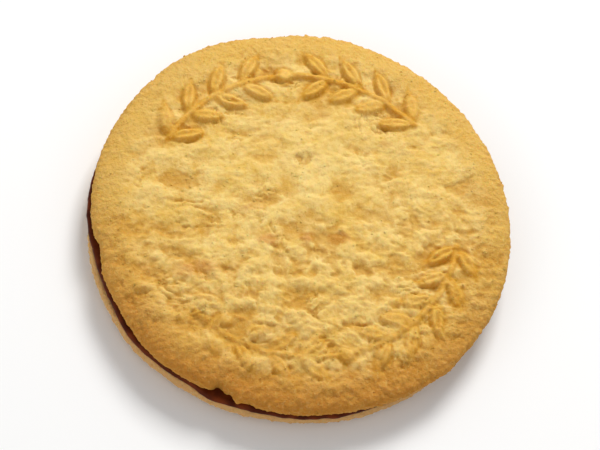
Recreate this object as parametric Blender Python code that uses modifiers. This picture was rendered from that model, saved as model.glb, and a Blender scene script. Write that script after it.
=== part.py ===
"""A syrup biscuit: two round butter biscuits held together by a layer of dark syrup.

Both biscuits lie with their flat baked side on the syrup, so the edge of each is fullest beside it.
The upper one is stamped with two leaf garlands round a craggy middle, and its edge is chipped in one
place, where the syrup shows from above. The lower one sits a little to one side, as it was pressed on.

Metres, +Z up. The stamp's upright is +Y, and the origin is the middle of the base of the whole.
"""

import random
from math import atan2, cos, degrees, exp, hypot, pi, radians, sin, sqrt, tau

import bmesh
import bpy
from mathutils import Matrix, Vector

# Driving sizes.
MEAN_RADIUS = 0.0439
BOTTOM_THICKNESS = 0.0040
SYRUP_THICKNESS = 0.0014
TOP_THICKNESS = 0.0050
FACE_GAP = 0.0003

# Heights that follow from them.
SYRUP_BASE = BOTTOM_THICKNESS + FACE_GAP
TOP_BASE = SYRUP_BASE + SYRUP_THICKNESS + FACE_GAP
TOP_FACE = TOP_BASE + TOP_THICKNESS

# Section of a biscuit: the upper one's face falls a little from its middle to a broad shoulder, and
# each has a tighter round beside the syrup.
DOME = 0.0004
DOME_POWER = 3
TOP_SHOULDER_REACH = 0.0080
BOTTOM_SHOULDER_REACH = 0.0044
FACE_RADIUS = MEAN_RADIUS - TOP_SHOULDER_REACH
SHOULDER_DROP_SHARE = 0.68
LIP_REACH = 0.0011

# The lower biscuit is a little smaller and sits off centre, and the syrup lies between the two.
BOTTOM_RADIUS = 0.0430
SYRUP_RADIUS = 0.0428
BOTTOM_SHIFT = 0.0017
SYRUP_SHIFT = 0.0012
SHIFT_DEGREES = -154

# Uneven edges. Each feature is its middle and half width in degrees, and how far it stands out.
TOP_EDGE = (
    (-174, 5, -0.0012),  # flattened side
    (-143, 11, 0.0010),  # swell before the chip
    (-123, 5, -0.0006),
    (-84, 8, -0.0003),
    (-54, 4, 0.0004),
    (92, 9, -0.0008),
    (118, 12, 0.0005),
)
TOP_CHIPS = (
    (-175, 2.0, -0.0005),
    (-121, 2.6, -0.0017),  # the chip that bares the syrup
    (-115.8, 1.5, 0.0007),  # tooth of dough beside it
)
BOTTOM_EDGE = (
    (-147, 9, 0.0004),
    (-97, 10, -0.0003),
    (20, 14, -0.0005),
    (85, 8, 0.0005),
)
SYRUP_EDGE = (
    (-172, 8, -0.0009),
    (-121, 7, 0.0011),  # pressed out where the upper biscuit is chipped
    (-70, 9, -0.0008),
    (-20, 12, 0.0005),
    (40, 10, -0.0006),
    (100, 14, 0.0004),
)
EDGE_SHIFT_POWER = 8  # an uneven outline reaches a few millimetres in
CHIP_SHIFT_POWER = 30  # a chip takes only the outermost dough

# Craggy middle: low mounds and hollows, longer than wide, lying mostly across the stamp. They are
# deeper towards the stamp's foot.
CRAG_COUNT = 170
CRAG_SEED = 7
CRAG_REACH = 0.0385
CRAG_SIZE = (0.0016, 0.0032)
CRAG_STRETCH = (1.0, 1.9)
CRAG_TURN = radians(40)
CRAG_HEIGHT = (0.00012, 0.00038)
CRAG_FOOT_GAIN = 0.6
CRAG_FADE = (0.0340, 0.0410)

# The stamp: a round pressed area that holds two garlands of leaf pairs along a stem.
PRESSED_DEPTH = 0.00035
PRESSED_EDGE = (0.0352, 0.0378)
STAMP_RADIUS = 0.0322
GARLANDS = (  # middle and span in degrees, leaf pairs on each side of the middle
    (90, 108, 4),
    (-82, 132, 5),
)
LEAF_LENGTH = 0.0074
LEAF_WIDTH = 0.0031
LEAF_RISE = 0.0009
LEAF_SPLAY = radians(42)
LEAF_OFFSET = 0.0028
BERRY_RADIUS = 0.0018
STEM_RADIUS = 0.0008
RELIEF_SINK = 0.0001  # how far the leaves' middles lie under the pressed surface

# Mesh densities.
FACE_RINGS = 20
SHOULDER_RINGS = 7
LIP_RINGS = 2
TURNED_STEPS = 96
SHOULDER_POINTS = 5
LIP_POINTS = 3
SYRUP_POINTS = 5
STEM_POINTS = 25
MERGE = 0.00001

OBJECT_NAME = "syrup_biscuit"


def clear_scene():
    for obj in list(bpy.data.objects):
        bpy.data.objects.remove(obj)


def collection(name):
    made = bpy.data.collections.new(name)
    bpy.context.scene.collection.children.link(made)
    return made


def material(name, colour, roughness):
    made = bpy.data.materials.new(name)
    made.use_nodes = True
    shader = made.node_tree.nodes["Principled BSDF"]
    shader.inputs["Base Color"].default_value = (*colour, 1.0)
    shader.inputs["Roughness"].default_value = roughness
    shader.inputs["Metallic"].default_value = 0.0
    return made


def new_object(name, mesh, into, finish):
    obj = bpy.data.objects.new(name, mesh)
    into.objects.link(obj)
    mesh.materials.append(finish)
    mesh.shade_smooth()
    mesh.set_sharp_from_angle(angle=radians(50))
    return obj


def smooth_step(low, high, value):
    share = min(1.0, max(0.0, (value - low) / (high - low)))
    return share * share * (3 - 2 * share)


def edge_shift(features, angle):
    """How far an uneven edge stands out of its mean circle at this angle."""
    shift = 0.0
    for middle, half_width, height in features:
        away = (degrees(angle) - middle + 180) % 360 - 180
        shift += height * exp(-((away / half_width) ** 2))
    return shift


def uneven(x, y, mean_radius, features, chips=()):
    """The point x, y of a round biscuit, moved as its uneven outline and its chips ask."""
    radius = hypot(x, y)
    if radius == 0:
        return x, y
    share = radius / mean_radius
    angle = atan2(y, x)
    grown = radius + share**EDGE_SHIFT_POWER * edge_shift(features, angle)
    grown += share**CHIP_SHIFT_POWER * edge_shift(chips, angle)
    return x * grown / radius, y * grown / radius


def square_to_disc(x, y):
    """Share of the radius and angle for a point of the square from -1 to 1: its rings become round."""
    if abs(x) >= abs(y):
        turn = pi / 4 * y / x if x else 0.0
        return abs(x), turn + (0 if x >= 0 else pi)
    return abs(y), pi / 2 - pi / 4 * x / y + (0 if y > 0 else pi)


def domed(radius):
    """Height of the upper biscuit's face without its relief."""
    return TOP_FACE - DOME * (radius / FACE_RADIUS) ** DOME_POWER


def top_profile(ring):
    """Radius and height of the upper biscuit at a ring counted from its middle, round to its underside."""
    edge_height = TOP_THICKNESS - DOME
    lip_height = edge_height * (1 - SHOULDER_DROP_SHARE)
    if ring <= FACE_RINGS:
        radius = FACE_RADIUS * ring / FACE_RINGS
        return radius, domed(radius)
    if ring <= FACE_RINGS + SHOULDER_RINGS:
        turn = pi / 2 * (ring - FACE_RINGS) / SHOULDER_RINGS
        rise = lip_height + (edge_height - lip_height) * cos(turn)
        return FACE_RADIUS + TOP_SHOULDER_REACH * sin(turn), TOP_BASE + rise
    turn = pi / 2 * (ring - FACE_RINGS - SHOULDER_RINGS) / LIP_RINGS
    return MEAN_RADIUS - LIP_REACH * (1 - cos(turn)), TOP_BASE + lip_height * (1 - sin(turn))


def scatter_crags():
    """The mounds and hollows as (x, y, turn, length, width, height), from one seeded rule."""
    draw = random.Random(CRAG_SEED)
    crags = []
    for _ in range(CRAG_COUNT):
        radius = CRAG_REACH * sqrt(draw.random())
        angle = draw.uniform(0, tau)
        size = draw.uniform(*CRAG_SIZE)
        stretch = draw.uniform(*CRAG_STRETCH)
        turn = draw.uniform(-CRAG_TURN, CRAG_TURN)
        x, y = radius * cos(angle), radius * sin(angle)
        height = draw.uniform(*CRAG_HEIGHT) * draw.choice((-1, 1))
        height *= 1 + CRAG_FOOT_GAIN * smooth_step(0, CRAG_REACH, -y)
        crags.append((x, y, turn, size * stretch, size, height))
    return crags


def relief(x, y, crags):
    """Height of the pressed and craggy face over its smooth form."""
    radius = hypot(x, y)
    height = 0.0
    for middle_x, middle_y, turn, length, width, rise in crags:
        dx, dy = x - middle_x, y - middle_y
        along = (dx * cos(turn) + dy * sin(turn)) / length
        across = (dy * cos(turn) - dx * sin(turn)) / width
        height += rise * exp(-along * along - across * across)
    height *= 1 - smooth_step(*CRAG_FADE, radius)
    return height - PRESSED_DEPTH * (1 - smooth_step(*PRESSED_EDGE, radius))


def surface(x, y, crags):
    """Height at which the raised parts of the stamp stand on the face, a little sunk in."""
    return domed(hypot(x, y)) + relief(x, y, crags) - RELIEF_SINK


def garland_leaves():
    """Each leaf's middle and heading: pairs on both sides of the stem, pointing to the garland's middle."""
    for middle, span, pairs in GARLANDS:
        pitch = radians(span) / (2 * pairs + 1)
        for side in (-1, 1):
            for index in range(pairs):
                angle = radians(middle) + side * pitch * (index + 1)
                for outward in (-1, 1):
                    radius = STAMP_RADIUS + outward * LEAF_OFFSET
                    along_stem = angle - side * pi / 2
                    heading = along_stem + side * outward * LEAF_SPLAY
                    yield radius * cos(angle), radius * sin(angle), heading


def leaf(into, x, y, heading, z):
    """One stamped leaf: a spindle whose tips are the poles of a sphere."""
    shape = bmesh.new()
    bmesh.ops.create_uvsphere(shape, u_segments=8, v_segments=5, radius=1.0)
    size = Matrix.Diagonal((LEAF_RISE + RELIEF_SINK, LEAF_WIDTH / 2, LEAF_LENGTH / 2, 1.0))
    place = Matrix.Translation((x, y, z)) @ Matrix.Rotation(heading, 4, "Z")
    bmesh.ops.transform(shape, matrix=place @ Matrix.Rotation(pi / 2, 4, "Y") @ size, verts=shape.verts)
    mesh = bpy.data.meshes.new("leaf")
    shape.to_mesh(mesh)
    shape.free()
    into.objects.link(bpy.data.objects.new("leaf", mesh))


def berry(into, x, y, z):
    """The round berry at the middle of a garland, flatter than it is wide."""
    shape = bmesh.new()
    bmesh.ops.create_uvsphere(shape, u_segments=10, v_segments=6, radius=BERRY_RADIUS)
    flatten = Matrix.Diagonal((1.0, 1.0, (LEAF_RISE + RELIEF_SINK) / BERRY_RADIUS, 1.0))
    bmesh.ops.transform(shape, matrix=Matrix.Translation((x, y, z)) @ flatten, verts=shape.verts)
    mesh = bpy.data.meshes.new("berry")
    shape.to_mesh(mesh)
    shape.free()
    into.objects.link(bpy.data.objects.new("berry", mesh))


def stem(into, middle, span, crags):
    """The thin raised line that a garland's leaves stand on, as a round tube half sunk in the dough."""
    curve = bpy.data.curves.new("stem", "CURVE")
    curve.dimensions = "3D"
    curve.bevel_depth = STEM_RADIUS
    curve.bevel_resolution = 1
    curve.use_fill_caps = True
    line = curve.splines.new("POLY")
    line.points.add(STEM_POINTS - 1)
    for index, point in enumerate(line.points):
        angle = radians(middle + span * (index / (STEM_POINTS - 1) - 0.5))
        x, y = STAMP_RADIUS * cos(angle), STAMP_RADIUS * sin(angle)
        point.co = (x, y, surface(x, y, crags), 1.0)
    holder = bpy.data.objects.new("stem_curve", curve)
    into.objects.link(holder)
    graph = bpy.context.evaluated_depsgraph_get()
    mesh = bpy.data.meshes.new_from_object(holder.evaluated_get(graph))
    tube = bmesh.new()
    tube.from_mesh(mesh)
    bmesh.ops.remove_doubles(tube, verts=tube.verts, dist=MERGE)
    tube.to_mesh(mesh)
    tube.free()
    bpy.data.objects.remove(holder)
    into.objects.link(bpy.data.objects.new("stem", mesh))


def stamped_relief(crags):
    """A collection that holds everything raised by the stamp."""
    raised = collection("stamp")
    for x, y, heading in garland_leaves():
        leaf(raised, x, y, heading, surface(x, y, crags))
    for middle, span, _ in GARLANDS:
        x, y = STAMP_RADIUS * cos(radians(middle)), STAMP_RADIUS * sin(radians(middle))
        berry(raised, x, y, surface(x, y, crags))
        stem(raised, middle, span, crags)
    return raised


def fuse(obj, raised):
    """Joins the raised pieces to the biscuit as one solid, and removes them."""
    union = obj.modifiers.new("stamp", "BOOLEAN")
    union.operation = "UNION"
    union.operand_type = "COLLECTION"
    union.collection = raised
    graph = bpy.context.evaluated_depsgraph_get()
    fused = bpy.data.meshes.new_from_object(obj.evaluated_get(graph))
    obj.modifiers.remove(union)
    obj.data = fused
    for piece in list(raised.objects):
        bpy.data.objects.remove(piece)
    bpy.data.collections.remove(raised)


def top_biscuit(into, finish):
    """The upper biscuit: an evenly spaced round grid, bent over the edge, with the stamp fused on."""
    rings = FACE_RINGS + SHOULDER_RINGS + LIP_RINGS
    crags = scatter_crags()
    shape = bmesh.new()
    bmesh.ops.create_grid(shape, x_segments=2 * rings, y_segments=2 * rings, size=1.0)
    for vert in shape.verts:
        share, angle = square_to_disc(round(vert.co.x, 6), round(vert.co.y, 6))
        radius, z = top_profile(round(share * rings))
        x, y = radius * cos(angle), radius * sin(angle)
        on_face = smooth_step(TOP_BASE, TOP_FACE - DOME, z)
        z += on_face * relief(x, y, crags)
        vert.co = (*uneven(x, y, MEAN_RADIUS, TOP_EDGE, TOP_CHIPS), z)
    border = [edge for edge in shape.edges if edge.is_boundary]
    bmesh.ops.contextual_create(shape, geom=border)
    bmesh.ops.recalc_face_normals(shape, faces=shape.faces)
    mesh = bpy.data.meshes.new("top_biscuit")
    shape.to_mesh(mesh)
    shape.free()
    obj = new_object("top_biscuit", mesh, into, finish)
    fuse(obj, stamped_relief(crags))
    return obj


def turned(name, profile, into, finish):
    """A solid turned round +Z from a profile that runs down its outer side."""
    outline = bpy.data.meshes.new(name)
    points = [(radius, 0.0, z) for radius, z in profile]
    outline.from_pydata(points, [(i, i + 1) for i in range(len(points) - 1)], [])
    obj = new_object(name, outline, into, finish)
    screw = obj.modifiers.new("turn", "SCREW")
    screw.steps = screw.render_steps = TURNED_STEPS
    screw.use_merge_vertices = True
    screw.merge_threshold = MERGE
    graph = bpy.context.evaluated_depsgraph_get()
    solid = bpy.data.meshes.new_from_object(obj.evaluated_get(graph))
    obj.modifiers.remove(screw)
    obj.data = solid
    return obj


def quarter_turn(points):
    return [pi / 2 * index / (points - 1) for index in range(points)]


def shift_aside(obj, mean_radius, features, distance):
    """Gives a turned solid its uneven outline, and moves it to the side where the lower biscuit shows."""
    for vert in obj.data.vertices:
        vert.co.xy = uneven(vert.co.x, vert.co.y, mean_radius, features)
    side = radians(SHIFT_DEGREES)
    obj.location = (distance * cos(side), distance * sin(side), 0.0)


def bottom_biscuit(into, finish):
    """The lower biscuit, flat side up: a tight round beside the syrup, then the shoulder to its face."""
    lip_height = BOTTOM_THICKNESS * (1 - SHOULDER_DROP_SHARE)
    shoulder_drop = BOTTOM_THICKNESS - lip_height
    profile = [(0.0, BOTTOM_THICKNESS)]
    profile += [
        (BOTTOM_RADIUS - LIP_REACH * (1 - sin(turn)), BOTTOM_THICKNESS - lip_height * (1 - cos(turn)))
        for turn in quarter_turn(LIP_POINTS)
    ]
    profile += [
        (BOTTOM_RADIUS - BOTTOM_SHOULDER_REACH * (1 - cos(turn)), shoulder_drop * (1 - sin(turn)))
        for turn in quarter_turn(SHOULDER_POINTS)[1:]
    ]
    profile += [(0.0, 0.0)]
    obj = turned("bottom_biscuit", profile, into, finish)
    shift_aside(obj, BOTTOM_RADIUS, BOTTOM_EDGE, BOTTOM_SHIFT)
    return obj


def syrup(into, finish):
    """The syrup, pressed out to a slightly bulging edge a little inside both biscuits."""
    half = SYRUP_THICKNESS / 2
    profile = [(0.0, SYRUP_BASE + SYRUP_THICKNESS)]
    profile += [
        (SYRUP_RADIUS - half * (1 - sin(turn)), SYRUP_BASE + half * (1 + cos(turn)))
        for turn in [pi * index / (SYRUP_POINTS - 1) for index in range(SYRUP_POINTS)]
    ]
    profile += [(0.0, SYRUP_BASE)]
    obj = turned("syrup", profile, into, finish)
    shift_aside(obj, SYRUP_RADIUS, SYRUP_EDGE, SYRUP_SHIFT)
    return obj


def stand_on_origin(pieces, into):
    """Parents the pieces to an empty that brings the middle of their base to the origin."""
    bpy.context.view_layer.update()
    corners = [piece.matrix_world @ vert.co for piece in pieces for vert in piece.data.vertices]
    low = Vector([min(corner[axis] for corner in corners) for axis in range(3)])
    high = Vector([max(corner[axis] for corner in corners) for axis in range(3)])
    holder = bpy.data.objects.new(OBJECT_NAME, None)
    into.objects.link(holder)
    holder.location = (-(low.x + high.x) / 2, -(low.y + high.y) / 2, -low.z)
    for piece in pieces:
        piece.parent = holder


def main():
    clear_scene()
    into = collection(OBJECT_NAME)
    golden = material("baked_dough", (0.72, 0.42, 0.10), 0.75)
    pale = material("pale_dough", (0.66, 0.40, 0.20), 0.75)
    dark = material("dark_syrup", (0.12, 0.018, 0.004), 0.35)
    pieces = [
        top_biscuit(into, golden),
        syrup(into, dark),
        bottom_biscuit(into, pale),
    ]
    stand_on_origin(pieces, into)


main()
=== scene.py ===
"""The looks of a syrup biscuit: two butter biscuits with dark syrup between them.

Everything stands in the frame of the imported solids: metres, +Z up, the stamp's upright along +Y.
Inside the node trees lengths are millimetres.
"""

from math import cos, pi, radians, sin

import bmesh
import bpy
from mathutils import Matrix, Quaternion, Vector


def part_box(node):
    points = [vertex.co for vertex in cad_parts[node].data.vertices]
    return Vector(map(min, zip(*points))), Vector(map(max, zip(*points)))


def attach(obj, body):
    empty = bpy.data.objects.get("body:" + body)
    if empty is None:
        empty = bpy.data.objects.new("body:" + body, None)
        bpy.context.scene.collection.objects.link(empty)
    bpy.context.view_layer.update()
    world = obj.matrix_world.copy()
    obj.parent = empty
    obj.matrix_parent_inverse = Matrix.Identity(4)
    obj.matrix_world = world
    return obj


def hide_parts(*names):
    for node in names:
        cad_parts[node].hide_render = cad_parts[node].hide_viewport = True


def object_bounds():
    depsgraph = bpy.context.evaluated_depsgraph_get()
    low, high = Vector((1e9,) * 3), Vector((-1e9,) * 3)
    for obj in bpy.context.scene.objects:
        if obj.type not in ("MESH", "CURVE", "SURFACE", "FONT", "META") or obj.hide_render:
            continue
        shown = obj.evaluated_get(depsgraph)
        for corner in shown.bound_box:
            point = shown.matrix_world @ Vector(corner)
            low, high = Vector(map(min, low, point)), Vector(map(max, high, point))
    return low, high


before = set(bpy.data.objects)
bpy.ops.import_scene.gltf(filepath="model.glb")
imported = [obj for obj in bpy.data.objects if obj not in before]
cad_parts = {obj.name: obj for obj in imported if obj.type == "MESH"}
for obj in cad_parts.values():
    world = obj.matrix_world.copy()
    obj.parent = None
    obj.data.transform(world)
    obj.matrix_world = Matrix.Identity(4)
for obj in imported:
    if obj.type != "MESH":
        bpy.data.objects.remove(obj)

cad_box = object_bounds()

MM = 0.001
MERGE_DISTANCE = 0.001 * MM


# ---------------------------------------------------------------------------------------------
# The upper biscuit.
# Butter dough with fine flour and sugar, rolled, pressed with a stamp and cut round. It is baked dry,
# so its face cracks into crags, its rim stays smoother, and its edge browns first.
# ---------------------------------------------------------------------------------------------


class Wire:
    """A node's output. Python arithmetic on it adds Math nodes."""

    def __init__(self, graph, socket):
        self.graph = graph
        self.socket = socket

    def twin(self, name):
        """Another output of the same node."""
        return Wire(self.graph, self.socket.node.outputs[name])

    def __add__(self, other):
        return self.graph.maths("ADD", self, other)

    def __radd__(self, other):
        return self.graph.maths("ADD", other, self)

    def __sub__(self, other):
        return self.graph.maths("SUBTRACT", self, other)

    def __rsub__(self, other):
        return self.graph.maths("SUBTRACT", other, self)

    def __mul__(self, other):
        return self.graph.maths("MULTIPLY", self, other)

    def __rmul__(self, other):
        return self.graph.maths("MULTIPLY", other, self)

    def __truediv__(self, other):
        return self.graph.maths("DIVIDE", self, other)

    def __pow__(self, other):
        return self.graph.maths("POWER", self, other)

    def __neg__(self):
        return self.graph.maths("MULTIPLY", self, -1.0)

    def __abs__(self):
        return self.graph.maths("ABSOLUTE", self)

    def __lt__(self, other):
        return self.graph.maths("LESS_THAN", self, other)

    def __gt__(self, other):
        return self.graph.maths("GREATER_THAN", self, other)


class Graph:
    """Adds nodes to a tree, of a material or of Geometry Nodes alike."""

    def __init__(self, tree):
        self.tree = tree

    def add(self, kind, settings=None, inputs=None, output=0):
        """A node of this type with these settings, and values or links for its sockets."""
        node = self.tree.nodes.new(kind)
        for name, value in (settings or {}).items():
            setattr(node, name, value)
        for key, value in (inputs or {}).items():
            if isinstance(value, Wire):
                self.tree.links.new(value.socket, node.inputs[key])
            else:
                node.inputs[key].default_value = value
        return Wire(self, node.outputs[output])

    def maths(self, operation, *values):
        return self.add("ShaderNodeMath", {"operation": operation}, dict(enumerate(values)))

    def vector_maths(self, operation, *values):
        return self.add("ShaderNodeVectorMath", {"operation": operation}, dict(enumerate(values)))

    def vector(self, x, y, z):
        return self.add("ShaderNodeCombineXYZ", inputs={"X": x, "Y": y, "Z": z})

    def polar(self, radius, angle, level):
        """The point at this angle, this far from the axis."""
        return self.vector(radius * self.maths("COSINE", angle), radius * self.maths("SINE", angle), level)

    def split(self, vector):
        x = self.add("ShaderNodeSeparateXYZ", inputs={"Vector": vector})
        return x, x.twin("Y"), x.twin("Z")

    def scaled(self, vector, factor):
        return self.add("ShaderNodeVectorMath", {"operation": "SCALE"}, {0: vector, "Scale": factor})

    def ease(self, low, high, value):
        """Rises smoothly from 0 at low to 1 at high."""
        limits = {"Value": value, "From Min": low, "From Max": high}
        return self.add("ShaderNodeMapRange", {"interpolation_type": "SMOOTHSTEP"}, limits)

    def bell(self, value):
        """1 at zero, falling to nothing on both sides."""
        return self.maths("EXPONENT", -(value * value))

    def noise(self, where, length, seed, detail=2.0, roughness=0.5, distortion=0.0):
        """Noise from about -0.5 to 0.5 whose swells are this long."""
        shifted = self.vector_maths("ADD", where, (seed * 31.7, seed * 17.3, seed * 43.1))
        fac = self.add(
            "ShaderNodeTexNoise",
            inputs={
                "Vector": shifted,
                "Scale": 1 / length,
                "Detail": detail,
                "Roughness": roughness,
                "Distortion": distortion,
            },
        )
        return fac - 0.5

    def cells(self, where, length, seed):
        """Distance to the nearest of scattered points this far apart, as a share of that spacing."""
        shifted = self.vector_maths("ADD", where, (seed * 23.9, seed * 37.1, seed * 11.3))
        return self.add("ShaderNodeTexVoronoi", inputs={"Vector": shifted, "Scale": 1 / length})


def size_tree(name, sizes):
    """A Geometry Nodes tree with a named input for each size, and a wire from each."""
    tree = bpy.data.node_groups.new(name, "GeometryNodeTree")
    tree.interface.new_socket("Geometry", in_out="OUTPUT", socket_type="NodeSocketGeometry")
    for label, kind in sizes.items():
        tree.interface.new_socket(label, in_out="INPUT", socket_type="NodeSocket" + kind)
    graph = Graph(tree)
    group_in = tree.nodes.new("NodeGroupInput")
    return graph, {label: Wire(graph, group_in.outputs[label]) for label in sizes}


def finish_tree(graph, shape, finish):
    """Ends a Geometry Nodes tree with real, smooth and finished geometry."""
    smooth = graph.add("GeometryNodeSetShadeSmooth", inputs={"Geometry": shape})
    real = graph.add("GeometryNodeRealizeInstances", inputs={"Geometry": smooth})
    done = graph.add("GeometryNodeSetMaterial", inputs={"Geometry": real, "Material": finish})
    group_out = graph.tree.nodes.new("NodeGroupOutput")
    graph.tree.links.new(done.socket, group_out.inputs["Geometry"])


def grow(name, graph, sizes, base=None):
    """Runs a tree with these sizes, and keeps what it makes as a plain mesh."""
    piece = bpy.data.objects.new(name, base or bpy.data.meshes.new(name))
    bpy.context.scene.collection.objects.link(piece)
    modifier = piece.modifiers.new("shape", "NODES")
    modifier.node_group = graph.tree
    for item in graph.tree.interface.items_tree:
        if item.in_out == "INPUT" and item.name in sizes:
            modifier[item.identifier] = sizes[item.name]
    depsgraph = bpy.context.evaluated_depsgraph_get()
    evaluated = piece.evaluated_get(depsgraph)
    mesh = bpy.data.meshes.new_from_object(evaluated, preserve_all_data_layers=True, depsgraph=depsgraph)
    piece.modifiers.remove(modifier)
    piece.data = mesh
    mesh.name = name
    return piece


def seat(piece, node):
    """Moves a piece level until its middle is over the middle of the solid that it stands for."""
    low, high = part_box(node)
    xs = [vert.co.x for vert in piece.data.vertices]
    ys = [vert.co.y for vert in piece.data.vertices]
    aside = Vector(((low.x + high.x - min(xs) - max(xs)) / 2, (low.y + high.y - min(ys) - max(ys)) / 2, 0))
    for vert in piece.data.vertices:
        vert.co += aside


def disc_point(graph, x, y):
    """Share of the radius and angle for a point of the square from -1 to 1: its rings become round."""
    flatter = abs(x) > abs(y)
    share = graph.maths("MAXIMUM", abs(x), abs(y))
    turn_x = y / x * (pi / 4) + (x < 0) * pi
    turn_y = pi / 2 - x / y * (pi / 4) + (y < 0) * pi
    return share, turn_y + (turn_x - turn_y) * flatter


def degrees_past(graph, degrees, middle):
    """How far an angle is past this middle, from -180 to 180."""
    return graph.maths("WRAP", degrees - middle, 180.0, -180.0)


def uneven_edge(graph, degrees, features):
    """How far an uneven edge stands out of its circle. A feature is its middle, half width and height."""
    total = degrees * 0.0
    for middle, half_width, height in features:
        away = degrees_past(graph, degrees, middle) / half_width
        total = graph.bell(away) * height + total
    return total


TOP_EDGE = (  # middle and half width in degrees, height in millimetres
    (-174, 5, -0.9),  # flattened side
    (-140, 12, 0.9),  # swell before the chip
    (-117.5, 4, -0.4),
    (-84, 8, -0.3),
    (-54, 4, 0.4),
    (92, 9, -0.8),
    (118, 12, 0.5),
)
TOP_CHIPS = (  # only the outermost dough
    (-176, 2.2, -0.4),
    (-121.2, 1.4, -1.65),  # the chip that bares the syrup, steepest on its left
    (-118.6, 1.8, -0.8),
    (-115.0, 1.0, 0.6),  # tooth of dough beside it
    (-111.8, 1.7, -0.45),
)

# The stamp: a pressed area, and two garlands of leaf pairs along a stem, in millimetres and degrees.
PRESSED_DEPTH = 0.35
PRESSED_EDGE = (35.2, 37.8)  # radius of its foot and of its brow
STAMP_RADIUS = 32.2
GARLANDS = (  # middle, span, leaf pairs on each side of the middle, height left at its two ends
    (90, 108, 4, 1.0, 1.0),
    (-82, 132, 5, 0.35, 0.9),
)
LEAF_LENGTH = 7.4
LEAF_WIDTH = 2.9
LEAF_RISE = 1.02
LEAF_SPLAY = radians(42)
LEAF_OFFSET = 2.8  # from the middle of the stem to the middle of a leaf
LEAF_POINT = 0.45  # how much narrower a leaf is at its ends
LEAF_FLANK = (1.22, 0.36)  # foot and top, as squared shares of its half length and half width
VEIN_WIDTH = 0.22  # share of the leaf's half width
VEIN_DEPTH = 0.35  # share of its rise, as the next two heights are
STEM_RISE = 0.7
MOAT_DEPTH = 0.22
STEM_FLANK = (0.85, 0.3)  # half width at the stem's foot and at its top
BERRY_RADIUS = 1.8
BERRY_FLANK = (1.1, 0.3)  # squared shares, as the leaf's and the moat's are
MOAT_MIDDLE = 1.45
MOAT_WIDTH = 0.35


def garland(graph, radius, degrees, middle, span, pairs):
    """Height of one garland: mirrored about its middle, leaves at an even pitch, a groove round each."""
    away = abs(degrees_past(graph, degrees, middle))
    pitch = span / (2 * pairs + 1)
    nearest = graph.maths("MINIMUM", graph.maths("MAXIMUM", graph.maths("ROUND", away / pitch), 1.0), pairs)
    inward = (nearest * pitch - away) * radius * radians(1)
    outward = abs(radius - STAMP_RADIUS) - LEAF_OFFSET
    lengthwise = (inward * cos(LEAF_SPLAY) + outward * sin(LEAF_SPLAY)) / (LEAF_LENGTH / 2)
    crosswise = (outward * cos(LEAF_SPLAY) - inward * sin(LEAF_SPLAY)) / (LEAF_WIDTH / 2)
    pointed = crosswise / graph.maths("MAXIMUM", 1.0 - lengthwise * lengthwise * LEAF_POINT, 0.3)
    from_leaf = lengthwise * lengthwise + pointed * pointed
    vein = graph.bell(crosswise / VEIN_WIDTH) * VEIN_DEPTH
    leaf = graph.ease(*LEAF_FLANK, from_leaf) * (1.0 - vein)
    on_stem = graph.ease(span / 2 + 1.5, span / 2 - 1.5, away)
    stem = graph.ease(*STEM_FLANK, abs(radius - STAMP_RADIUS)) * on_stem * STEM_RISE
    from_middle = away * radius * radians(1) / BERRY_RADIUS
    off_stem = (radius - STAMP_RADIUS) / BERRY_RADIUS
    from_berry = from_middle * from_middle + off_stem * off_stem
    berry = graph.ease(*BERRY_FLANK, from_berry)
    raised = graph.maths("MAXIMUM", graph.maths("SMOOTH_MAX", leaf, stem, 0.15), berry)
    past_moat = graph.maths("MINIMUM", from_leaf, from_berry) - MOAT_MIDDLE
    moat = graph.bell(past_moat / MOAT_WIDTH) * MOAT_DEPTH
    return raised - moat * graph.ease(0.3, 0.0, raised)


def evened(graph, value):
    """A value averaged with those of the neighbouring points, so that steep flanks show no teeth."""
    return graph.add("GeometryNodeBlurAttribute", {"data_type": "FLOAT"}, {"Value": value})


def stamp_height(graph, radius, degrees, flat):
    """Height of both garlands and where their flanks and grooves take painted shade, each from 0 to 1.

    The lower one is worn towards its left end, as by a stamp that didn't press through there.
    """
    total, flanks = 0.0, 0.0
    for middle, span, pairs, first, last in GARLANDS:
        along = degrees_past(graph, degrees, middle) / span + 0.5
        left = along * (last - first) + first
        worn = graph.noise(flat, 3.5, middle, detail=2.0) * (1.0 - left) * 3.0 + left
        raised = garland(graph, radius, degrees, middle, span, pairs)
        total = raised * worn + total
        above = raised - 0.04  # the smooth maximum lifts bare dough by almost this much
        on_flank = above * (1.0 - above) ** 2 * 6.75  # 1 at a third of the height
        flank = graph.maths("MAXIMUM", on_flank, graph.ease(-0.02, -0.12, raised))
        flanks = flank * graph.ease(0.2, 0.9, worn) + flanks
    return evened(graph, total), evened(graph, flanks)


def pillows(graph, where, length, seed):
    """Rounded lumps about this far apart, with soft creases between them."""
    swell = graph.noise(where, length, seed, detail=3.0, roughness=0.45)
    return (swell * swell + 0.001) ** 0.5


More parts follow.
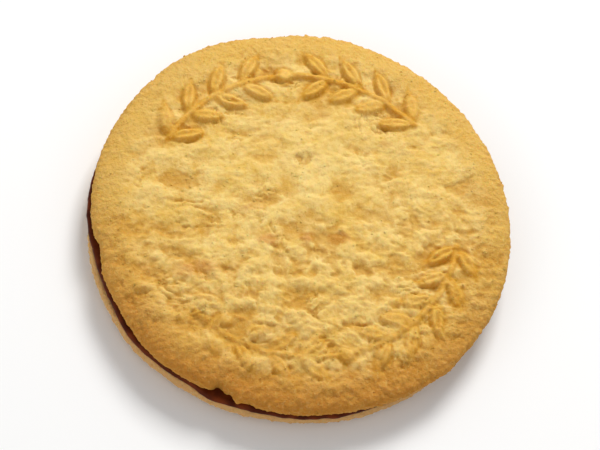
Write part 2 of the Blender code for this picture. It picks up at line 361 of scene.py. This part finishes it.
def crag_height(graph, flat, radius, y):
    """Crags of the baked face: slanting ridges, and in its lower half bigger lumps and short cracks."""
    stretched = graph.vector_maths("MULTIPLY", flat, (0.65, 1.0, 1.0))
    mounds = graph.noise(stretched, 8.0, 1, detail=3.0) * 1.7
    ridges = graph.noise(stretched, 3.8, 2, detail=3.0, roughness=0.55) * 1.9
    lumps = pillows(graph, flat, 5.4, 7) + pillows(graph, flat, 2.6, 11) * 0.5 - 0.17
    rugged = graph.ease(8.0, -16.0, y + graph.noise(flat, 9.0, 12) * 22.0)
    line = graph.bell(graph.noise(stretched, 4.2, 3, detail=3.0, distortion=0.8) / 0.03)
    patch = graph.ease(0.04, 0.16, graph.noise(flat, 8.0, 4, detail=1.0))
    cracks = line * patch * 0.4
    flaked = graph.noise(stretched, 4.4, 15, detail=4.0, roughness=0.5, distortion=0.4)
    flakes = graph.ease(-0.015, 0.04, flaked) * 0.3 + graph.ease(0.1, 0.15, flaked) * 0.2 - 0.2
    fade = graph.ease(rugged * 1.6 + 40.5, rugged * 2.2 + 34.5, radius)
    total = (mounds + ridges) * (rugged * 0.16 + 0.86) + lumps * (rugged * 2.8 + 1.0)
    total = total - cracks + flakes * (rugged * 0.2 + 0.6)
    return total * (fade * (0.7 - rugged * 0.3) + rugged * 0.3 + 0.3)


def crumb_height(graph, where):
    """Fine crumb of the dough: sandy grains, unevenly spread."""
    grains = 0.42 - graph.cells(where, 1.3, 5)
    sand = 0.42 - graph.cells(where, 0.8, 13)
    uneven = graph.noise(where, 3.5, 10) * 2.0 + 1.0
    fine = graph.noise(where, 1.4, 6, detail=3.0, roughness=0.7)
    return (grains * 0.16 + sand * 0.12) * uneven + fine * 0.3


def section_point(graph, size, share):
    """Radius and depth at a share of the way along a biscuit's section.

    It runs over the face, the shoulder and the lip, then a little way in under the biscuit.
    """
    face = size["Radius"] - size["Shoulder Reach"]
    lip_drop = size["Thickness"] - size["Dome"] - size["Shoulder Drop"]
    quarter = pi / 2 / 2**0.5
    shoulder_way = (size["Shoulder Reach"] ** 2 + size["Shoulder Drop"] ** 2) ** 0.5 * quarter
    lip_way = (size["Lip Reach"] ** 2 + lip_drop**2) ** 0.5 * quarter
    under_way = 2.0
    crowded = share + share * (1.0 - share) ** 3 * 0.6  # the rings lie closer where the stamp is
    way = crowded * (face + shoulder_way + lip_way + under_way)
    on_face = graph.maths("MINIMUM", way, face)
    over_shoulder = graph.add("ShaderNodeClamp", inputs={"Value": (way - face) / shoulder_way}) * (pi / 2)
    past_shoulder = way - face - shoulder_way
    over_lip = graph.add("ShaderNodeClamp", inputs={"Value": past_shoulder / lip_way}) * (pi / 2)
    under = graph.maths("MAXIMUM", past_shoulder - lip_way, 0.0)
    radius = on_face + size["Shoulder Reach"] * graph.maths("SINE", over_shoulder)
    radius = radius - size["Lip Reach"] * (1.0 - graph.maths("COSINE", over_lip)) - under
    depth = size["Dome"] * (on_face / face) ** 3
    depth = depth + size["Shoulder Drop"] * (1.0 - graph.maths("COSINE", over_shoulder))
    depth = depth + lip_drop * graph.maths("SINE", over_lip)
    return radius, depth


def biscuit_tree(name, features, chips, stamped):
    """A baked disc: a square grid bent round, over its edge and a little way under, then closed."""
    sizes = {
        "Rings": "Int",
        "Radius": "Float",
        "Face Height": "Float",
        "Facing": "Float",
        "Thickness": "Float",
        "Dome": "Float",
        "Shoulder Reach": "Float",
        "Shoulder Drop": "Float",
        "Lip Reach": "Float",
        "Relief": "Float",
        "Lowest": "Float",
        "Highest": "Float",
        "Finish": "Material",
    }
    graph, size = size_tree(name, sizes)
    lines = size["Rings"] * 2 + 1
    square = {"Size X": 2.0, "Size Y": 2.0, "Vertices X": lines, "Vertices Y": lines}
    grid = graph.add("GeometryNodeMeshGrid", inputs=square)
    x, y, _ = graph.split(graph.add("GeometryNodeInputPosition"))
    share, angle = disc_point(graph, x, y)
    radius, depth = section_point(graph, size, share)
    edge = uneven_edge(graph, graph.maths("DEGREES", angle), features)
    chipped = uneven_edge(graph, graph.maths("DEGREES", angle), chips)
    share = radius / size["Radius"]
    radius = radius + share**8 * edge + share**30 * chipped  # a chip doesn't reach in as far
    level = size["Face Height"] - size["Facing"] * depth
    bent = {"Geometry": grid, "Position": graph.scaled(graph.polar(radius, angle, level), MM)}
    shape = graph.add("GeometryNodeSetPosition", inputs=bent)
    shape = graph.add("GeometryNodeFlipFaces", inputs={"Mesh": shape, "Selection": size["Facing"] < 0.0})

    # Relief, square to that surface.
    where = graph.scaled(graph.add("GeometryNodeInputPosition"), 1 / MM)
    x, y, z = graph.split(where)
    radius = (x * x + y * y) ** 0.5
    degrees = graph.maths("DEGREES", graph.maths("ARCTAN2", y, x))
    depth = (size["Face Height"] - z) * size["Facing"]
    rim = radius / (uneven_edge(graph, degrees, features) + size["Radius"])
    flat = graph.vector(x, y, 0.0)
    crags = crag_height(graph, flat, radius, y) * size["Relief"]
    on_face = graph.ease(2.6, 1.2, depth)
    height = crags * on_face
    stamp, flanks = 0.0, 0.0
    if stamped:
        foot, brow = PRESSED_EDGE
        pressed = graph.ease(brow, foot, radius + graph.noise(flat, 7.0, 8) * 1.6)
        stamp, flanks = stamp_height(graph, radius, degrees, flat)
        height = height * (1.0 - stamp * 0.5) + stamp * LEAF_RISE - pressed * PRESSED_DEPTH
    on_side = graph.ease(0.8, 2.6, depth)
    rough_side = graph.noise(where, 2.2, 9, detail=4.0, roughness=0.7) * 0.7 * on_side
    crumbly = graph.ease(0.75, 0.9, rim) * 0.9 + on_side * 0.4 + 0.66
    height = height + crumb_height(graph, where) * crumbly + rough_side
    for_dough = {"rim": rim, "depth": depth, "crag": crags * on_face, "stamp": stamp, "flank": flanks}
    for label, value in for_dough.items():
        kept = {"Geometry": shape, "Name": label, "Value": value}
        shape = graph.add("GeometryNodeStoreNamedAttribute", {"data_type": "FLOAT", "domain": "POINT"}, kept)
    normal = graph.add("GeometryNodeInputNormal")
    raised = {"Geometry": shape, "Offset": graph.scaled(normal, height * MM)}
    shape = graph.add("GeometryNodeSetPosition", inputs=raised)
    x, y, z = graph.split(graph.add("GeometryNodeInputPosition"))
    level = {"Value": z, "Min": size["Lowest"], "Max": size["Highest"]}
    kept = {"Geometry": shape, "Position": graph.vector(x, y, graph.add("ShaderNodeClamp", inputs=level))}
    shape = graph.add("GeometryNodeSetPosition", inputs=kept)
    shape = graph.add("GeometryNodeTriangulate", {"quad_method": "SHORTEST_DIAGONAL"}, {"Mesh": shape})

    back = size["Face Height"] - size["Facing"] * size["Thickness"]
    shape = closed_with_fan(graph, shape, back * MM)
    finish_tree(graph, shape, size["Finish"])
    return graph


def closed_with_fan(graph, shape, level):
    """Closes a round opening with triangles that meet on the axis at this level."""
    neighbours = graph.add("GeometryNodeInputMeshEdgeNeighbors")
    open_edge = neighbours < 1.5
    drawn = {"Mesh": shape, "Selection": open_edge, "Offset Scale": 0.0}
    shape = graph.add("GeometryNodeExtrudeMesh", {"mode": "EDGES"}, drawn)
    inner = shape.twin("Top")
    gathered = {"Geometry": shape, "Selection": inner, "Position": graph.vector(0.0, 0.0, level)}
    shape = graph.add("GeometryNodeSetPosition", inputs=gathered)
    return graph.add("GeometryNodeMergeByDistance", inputs={"Geometry": shape, "Distance": MERGE_DISTANCE})


def tone(code):
    """A colour's linear values from its hexadecimal code."""
    shares = [int(code[i : i + 2], 16) / 255 for i in (1, 3, 5)]
    linear = [share / 12.92 if share <= 0.04045 else ((share + 0.055) / 1.055) ** 2.4 for share in shares]
    return (*linear, 1.0)


def tinted(graph, colour, other, share):
    """Moves a colour towards another one by this share."""
    settings = {"data_type": "RGBA", "clamp_factor": True}
    return graph.add("ShaderNodeMix", settings, {0: share, 6: colour, 7: other}, output=2)


def new_finish(name):
    """A material with an empty tree but for its shader and output."""
    made = bpy.data.materials.new(name)
    made.use_nodes = True
    return made, Graph(made.node_tree), made.node_tree.nodes["Principled BSDF"]


def kept_value(graph, label):
    """A value that the mesh carries for its dough."""
    return graph.add("ShaderNodeAttribute", {"attribute_name": label}, output="Fac")


def coat(graph, shader, colour, roughness, relief, strength):
    """Gives a shader its colour, its roughness and a fine relief in millimetres."""
    bump = graph.add("ShaderNodeBump", inputs={"Strength": strength, "Distance": MM, "Height": relief})
    for socket, wire in (("Base Color", colour), ("Roughness", roughness), ("Normal", bump)):
        graph.tree.links.new(wire.socket, shader.inputs[socket])


# painted shade for the flanks and grooves of the stamp
STAMP_SHADE = "#c98c14"
LEAF_TOP = "#e5b145"
SCORCHED = "#c57a32"


def dough(name, golden, pale, toasted_and_shade, side, browned, seed, marks=()):
    """Baked butter dough: blotchy gold, painted shade in its hollows, browner over the edge and to one side.

    A mark is a place that the oven has browned: its middle, half length and width, and how brown it is.
    """
    made, graph, shader = new_finish(name)
    where = graph.scaled(graph.add("ShaderNodeTexCoord", output="Object"), 1 / MM)
    x, y, _ = graph.split(where)
    rim, depth = kept_value(graph, "rim"), kept_value(graph, "depth")
    crag, stamp = kept_value(graph, "crag"), kept_value(graph, "stamp")
    flank = kept_value(graph, "flank")
    blotches = graph.noise(where, 9.0, seed, detail=4.0, roughness=0.6)
    mottle = graph.noise(where, 1.7, seed + 1, detail=4.0, roughness=0.65)
    speckle = graph.noise(where, 0.42, seed + 2, detail=2.0, roughness=0.7)
    patches = graph.noise(where, 5.5, seed + 5, detail=3.0, roughness=0.6)
    grains = graph.noise(where, 0.8, seed + 6, detail=2.0, roughness=0.6)
    sand = grains + speckle * 0.6
    pores = graph.ease(0.2, 0.06, graph.cells(where, 1.5, seed + 3)) * graph.ease(0.05, 0.25, mottle)

    outer = graph.ease(0.8, 0.92, rim + blotches * 0.1)
    lightest = graph.ease(-0.35, 0.3, blotches + mottle * 0.8) * (1.0 - outer * 0.65)
    browner_side = graph.ease(4.0, -46.0, x * 0.25 + y)
    baked = graph.ease(0.73, 1.0, rim + blotches * 0.12) * (browner_side * 0.73 + 0.27)
    ragged = graph.noise(where, 3.2, seed + 7, detail=3.0, roughness=0.6) * 2.0
    marked = 0.0
    for mark_x, mark_y, length, width, brown in marks:
        away = ((x - mark_x) / length) ** 2 + ((y - mark_y) / width) ** 2
        marked = graph.maths("MAXIMUM", marked, graph.ease(1.7, 0.0, away + ragged) * brown)

    tints = (
        (pale, lightest),
        (toasted_and_shade, graph.ease(0.1, 0.3, patches) * 0.22),
        (SCORCHED, marked),
        # painted shade in the hollows of the crags, and paler crests
        (toasted_and_shade, graph.ease(0.0, -0.7, crag + mottle * 0.3) * 0.65),
        (pale, graph.ease(0.1, 0.5, crag) * 0.3),
        # the ring that the stamp pressed, and the tops of its leaves
        (toasted_and_shade, graph.bell((rim - 0.66) / 0.14) * 0.11),
        (LEAF_TOP, graph.ease(0.2, 0.9, stamp) * 0.5),
        # browner towards -Y, over the edge and down its lip
        (toasted_and_shade, browner_side * 0.14),
        (side, baked),
        (browned, graph.ease(0.0, 0.25, mottle) * baked * 0.35),
        (golden, graph.ease(0.0, -0.25, mottle) * baked * 0.35),
        (browned, graph.ease(1.2, 3.8, depth + mottle * 1.2) * 0.5),
        # painted shade on the flanks of the leaves and in the grooves round them
        (STAMP_SHADE, flank * 0.8),
        # sandy grain, and pores
        (pale, graph.ease(0.03, 0.3, sand) * (0.25 - baked * 0.05)),
        (toasted_and_shade, graph.ease(-0.03, -0.3, sand) * 0.31),
        (browned, graph.ease(-0.05, -0.35, sand) * baked * 0.5),
        (browned, pores * 0.25),
    )
    colour = tone(golden)
    for other, share in tints:
        colour = tinted(graph, colour, tone(other), share)

    grain = graph.noise(where, 0.35, seed + 4, detail=2.0, roughness=0.6) * 0.2
    grain = (grain + grains * 0.36 - pores * 0.15 + speckle * 0.1) * (outer * 0.75 + 0.68)
    coat(graph, shader, colour, roughness=mottle * 0.2 + 0.74, relief=grain, strength=0.8)
    shader.inputs["Specular IOR Level"].default_value = 0.1
    shader.inputs["Subsurface Weight"].default_value = 0.5
    shader.inputs["Subsurface Radius"].default_value = (1.0, 0.55, 0.25)
    shader.inputs["Subsurface Scale"].default_value = 0.0012
    return made


SCORCH_MARKS = (  # middle, half length and half width in millimetres, and how brown
    (6.6, -5.6, 2.2, 1.4, 0.68),
    (0.2, -4.9, 1.8, 1.1, 0.6),
    (-8.3, -5.0, 2.4, 1.2, 0.55),
    (-23.4, -10.7, 5.0, 1.9, 0.55),
    (-10.2, 2.6, 2.4, 0.9, 0.3),
    (19.5, 15.2, 1.3, 1.0, 0.35),
)

SETTLED = 0.33  # millimetres that each biscuit reaches past its solid, sunk on to the syrup
top_low, top_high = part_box("top_biscuit")
upper_dough = dough("upper_dough", "#e0b75a", "#edd187", "#c78e2c", "#c58636", "#b47928", 20, SCORCH_MARKS)
upper = grow(
    "upper_biscuit",
    biscuit_tree("upper_biscuit", TOP_EDGE, TOP_CHIPS, stamped=True),
    {
        "Rings": 156,
        "Radius": 43.62,
        "Face Height": 11.0,
        "Facing": 1.0,
        "Thickness": 5.0 + SETTLED,
        "Dome": 0.4,
        "Shoulder Reach": 8.0,
        "Shoulder Drop": 3.13,
        "Lip Reach": 0.8,
        "Relief": 1.18,
        "Lowest": top_low.z - SETTLED * MM,
        "Highest": top_high.z,
        "Finish": upper_dough,
    },
)
seat(upper, "top_biscuit")
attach(upper, "root")
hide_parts("top_biscuit")


# ---------------------------------------------------------------------------------------------
# The lower biscuit.
# The same dough, unstamped and a little smaller, laid with its own face down. Its colours are painted
# paler, for the light that the pale table throws up on its side, and its face is rubbed flat where it rests.
# ---------------------------------------------------------------------------------------------

BOTTOM_EDGE = (
    (170, 13, -0.6),
    (-147, 9, 0.4),
    (-97, 10, -0.3),
    (20, 14, -0.5),
    (85, 8, 0.5),
)

bottom_low, bottom_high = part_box("bottom_biscuit")
# painted light: paler colours than the upper dough, for the light thrown up from the pale table
lower_dough = dough("lower_dough", "#daae6d", "#e3c28a", "#bd8a44", "#d5a76d", "#c99a5e", 50)
lower = grow(
    "lower_biscuit",
    biscuit_tree("lower_biscuit", BOTTOM_EDGE, (), stamped=False),
    {
        "Rings": 120,
        "Radius": 42.85,
        "Face Height": 0.1,
        "Facing": -1.0,
        "Thickness": 3.9 + SETTLED,
        "Dome": 0.0,
        "Shoulder Reach": 4.4,
        "Shoulder Drop": 2.6,
        "Lip Reach": 0.8,
        "Relief": 0.7,
        "Lowest": bottom_low.z,
        "Highest": bottom_high.z + SETTLED * MM,
        "Finish": lower_dough,
    },
)
seat(lower, "bottom_biscuit")
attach(lower, "root")
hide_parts("bottom_biscuit")


# ---------------------------------------------------------------------------------------------
# The syrup.
# Thick dark treacle, spread warm and pressed between the biscuits, which it glues together. It sets
# with a soft glossy edge that bulges unevenly and has been squeezed out where the edge is chipped.
# ---------------------------------------------------------------------------------------------

SYRUP_TOUCH = 0.1  # millimetres that it reaches past its solid on each side, to meet the biscuits
SYRUP_LINES = (721, 17)  # round it and up its edge
SYRUP_EDGE = (
    (170, 12, 0.5),
    (-172, 8, -0.3),
    (-146, 9, 0.9),
    (-121, 5, 0.7),
    (-70, 9, -0.8),
    (-20, 12, 0.5),
    (40, 10, -0.6),
    (100, 14, 0.4),
)


def syrup_tree(name):
    """A bulging band round the axis, its ends merged, closed above and below."""
    sizes = {"Radius": "Float", "Base": "Float", "Thickness": "Float", "Finish": "Material"}
    graph, size = size_tree(name, sizes)
    strip = {"Size X": 1.0, "Size Y": 1.0, "Vertices X": SYRUP_LINES[0], "Vertices Y": SYRUP_LINES[1]}
    grid = graph.add("GeometryNodeMeshGrid", inputs=strip)
    x, y, _ = graph.split(graph.add("GeometryNodeInputPosition"))
    angle = x * (2 * pi)
    turn = y * pi
    ring = graph.scaled(graph.polar(1.0, angle, y * 0.02), 42.0)
    swell = graph.noise(ring, 6.0, 61) * 0.9 + graph.noise(ring, 1.8, 62) * 0.35
    edge = uneven_edge(graph, graph.maths("DEGREES", angle), SYRUP_EDGE) + swell
    half = size["Thickness"] / 2.0
    radius = size["Radius"] + edge - half * (1.0 - graph.maths("COSINE", turn))
    level = size["Base"] + half * (1.0 + graph.maths("SINE", turn))
    placed = {"Geometry": grid, "Position": graph.scaled(graph.polar(radius, angle, level), MM)}
    shape = graph.add("GeometryNodeSetPosition", inputs=placed)
    shape = graph.add("GeometryNodeMergeByDistance", inputs={"Geometry": shape, "Distance": MERGE_DISTANCE})
    _, _, z = graph.split(graph.add("GeometryNodeInputPosition"))
    shape = closed_with_fan(graph, shape, z)
    finish_tree(graph, shape, size["Finish"])
    return graph


def treacle(name):
    """Dark syrup: nearly black, swirled with the red-brown of its lit parts as painted light, glossy with
    dull patches.
    """
    made, graph, shader = new_finish(name)
    where = graph.scaled(graph.add("ShaderNodeTexCoord", output="Object"), 1 / MM)
    swirl = graph.noise(where, 3.0, 71, detail=3.0)
    # painted light: swirls of the lit syrup's red-brown over its nearly black
    colour = tinted(graph, tone("#451704"), tone("#73310f"), graph.ease(-0.2, 0.3, swirl))
    ripple = graph.noise(where, 0.9, 72, detail=2.0) * 0.12
    dullness = graph.noise(where, 2.2, 73) * 0.3 + 0.38
    coat(graph, shader, colour, roughness=dullness, relief=ripple, strength=0.6)
    shader.inputs["Specular IOR Level"].default_value = 0.07
    return made


syrup_low, syrup_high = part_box("syrup")
syrup = grow(
    "syrup_layer",
    syrup_tree("syrup_layer"),
    {
        "Radius": 43.1,
        "Base": syrup_low.z / MM - SYRUP_TOUCH,
        "Thickness": (syrup_high.z - syrup_low.z) / MM + 2 * SYRUP_TOUCH,
        "Finish": treacle("treacle"),
    },
)
seat(syrup, "syrup")
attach(syrup, "root")
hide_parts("syrup")


# ---------------------------------------------------------------------------------------------
# Crumbs.
# Bits of the same dough that broke off a rim and stick to the upper biscuit. They lie in the lower
# places of its face, as its highest crags have been brushed clean.
# ---------------------------------------------------------------------------------------------

CRUMB_RADIUS = 0.22 * MM
CRUMB_RAGGEDNESS = 0.3 * MM
CRUMB_DENSITY = 60000.0  # to the square metre
BRUSHED = 0.6 * MM  # no crumbs lie this close to the highest point


def crumb_tree(name):
    """Small lumps on the upper side of a given mesh, half sunk in it."""
    sizes = {"Geometry": "Geometry", "Density": "Float", "Highest": "Float", "Seed": "Int"}
    graph, size = size_tree(name, sizes | {"Finish": "Material"})
    normal_z = graph.split(graph.add("GeometryNodeInputNormal"))[2]
    level = graph.split(graph.add("GeometryNodeInputPosition"))[2]
    spread = {
        "Mesh": size["Geometry"],
        "Selection": (normal_z > 0.2) * (level < size["Highest"]),
        "Density": size["Density"],
        "Seed": size["Seed"],
    }
    points = graph.add("GeometryNodeDistributePointsOnFaces", {"distribute_method": "RANDOM"}, spread)
    lump = graph.add("GeometryNodeMeshIcoSphere", inputs={"Radius": CRUMB_RADIUS, "Subdivisions": 2})
    where = graph.scaled(graph.add("GeometryNodeInputPosition"), 1 / MM)
    swell = graph.noise(where, 0.3, 81) * CRUMB_RAGGEDNESS
    raised = {"Geometry": lump, "Offset": graph.scaled(graph.add("GeometryNodeInputNormal"), swell)}
    lump = graph.add("GeometryNodeSetPosition", inputs=raised)
    turned = graph.add(
        "FunctionNodeRandomValue",
        {"data_type": "FLOAT_VECTOR"},
        {"Min": (0.0, 0.0, 0.0), "Max": (2 * pi, 2 * pi, 2 * pi), "Seed": 2},
    )
    stretch = graph.add(
        "FunctionNodeRandomValue",
        {"data_type": "FLOAT_VECTOR"},
        {"Min": (0.5, 0.5, 0.5), "Max": (1.5, 1.2, 1.0), "Seed": 3},
    )
    laid = {"Points": points, "Instance": lump, "Rotation": turned, "Scale": stretch}
    finish_tree(graph, graph.add("GeometryNodeInstanceOnPoints", inputs=laid), size["Finish"])
    return graph


crumbs = grow(
    "crumbs",
    crumb_tree("crumbs"),
    {"Density": CRUMB_DENSITY, "Highest": top_high.z - BRUSHED, "Seed": 5, "Finish": upper_dough},
    base=upper.data,
)
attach(crumbs, "root")


# ---------------------------------------------------------------------------------------------
# The studio.
# A pale table, a broad soft lamp behind and above, a weak one in front, and a bright room.
# ---------------------------------------------------------------------------------------------

middle = (cad_box[0] + cad_box[1]) / 2

TABLE_SIZE = 4.0
TABLE_GAP = 0.05 * MM  # keeps the table clear of the flat places underneath
table_mesh = bpy.data.meshes.new("table")
table_shape = bmesh.new()
bmesh.ops.create_grid(table_shape, x_segments=1, y_segments=1, size=TABLE_SIZE / 2)
table_shape.to_mesh(table_mesh)
table_shape.free()
table = bpy.data.objects.new("table", table_mesh)
table.location.z = -TABLE_GAP
bpy.context.scene.collection.objects.link(table)
table_finish, _, table_shader = new_finish("pale_table")
table_shader.inputs["Base Color"].default_value = (0.93, 0.93, 0.93, 1.0)
table_shader.inputs["Roughness"].default_value = 0.9
table_shader.inputs["Specular IOR Level"].default_value = 0.1
table_mesh.materials.append(table_finish)


def soft_lamp(name, azimuth, elevation, distance, size, power, colour):
    """A square lamp that faces the biscuit. Azimuth is the compass angle from +X."""
    lamp = bpy.data.lights.new(name, "AREA")
    lamp.shape = "SQUARE"
    lamp.size = size
    lamp.energy = power
    lamp.color = colour
    out = Vector((cos(radians(azimuth)), sin(radians(azimuth)), 0)) * cos(radians(elevation))
    out.z = sin(radians(elevation))
    holder = bpy.data.objects.new(name, lamp)
    holder.location = middle + out * distance
    holder.rotation_mode = "QUATERNION"
    holder.rotation_quaternion = out.to_track_quat("Z", "Y")
    bpy.context.scene.collection.objects.link(holder)


key = {"azimuth": 64, "elevation": 46, "distance": 0.9, "size": 0.35, "power": 6.48}
soft_lamp("key_lamp", **key, colour=(1.0, 0.99, 0.97))
fill = {"azimuth": 215, "elevation": 25, "distance": 1.2, "size": 0.8, "power": 2.4}
soft_lamp("fill_lamp", **fill, colour=(1.0, 1.0, 1.0))

ROOM_STRENGTH = 0.49
world = bpy.data.worlds.new("room")
world.use_nodes = True
room = world.node_tree.nodes["Background"]
room.inputs["Color"].default_value = (1.0, 1.0, 1.0, 1.0)
room.inputs["Strength"].default_value = ROOM_STRENGTH
bpy.context.scene.world = world
bpy.context.scene.view_settings.view_transform = "Standard"

CAMERA_TURN = -24  # degrees round the biscuit, from looking along +Y
CAMERA_RISE = 62
CAMERA_ROLL = 18.4
CAMERA_DISTANCE = 0.9
CAMERA_LENS = 262
camera = bpy.data.cameras.new("camera")
camera.lens = CAMERA_LENS
back = Vector((sin(radians(CAMERA_TURN)), -cos(radians(CAMERA_TURN)), 0)) * cos(radians(CAMERA_RISE))
back.z = sin(radians(CAMERA_RISE))
view = bpy.data.objects.new("camera", camera)
view.location = middle + back * CAMERA_DISTANCE
view.rotation_mode = "QUATERNION"
level_view = (-back).to_track_quat("-Z", "Y")
view.rotation_quaternion = level_view @ Quaternion((0, 0, 1), radians(CAMERA_ROLL))
bpy.context.scene.collection.objects.link(view)
bpy.context.scene.camera = view
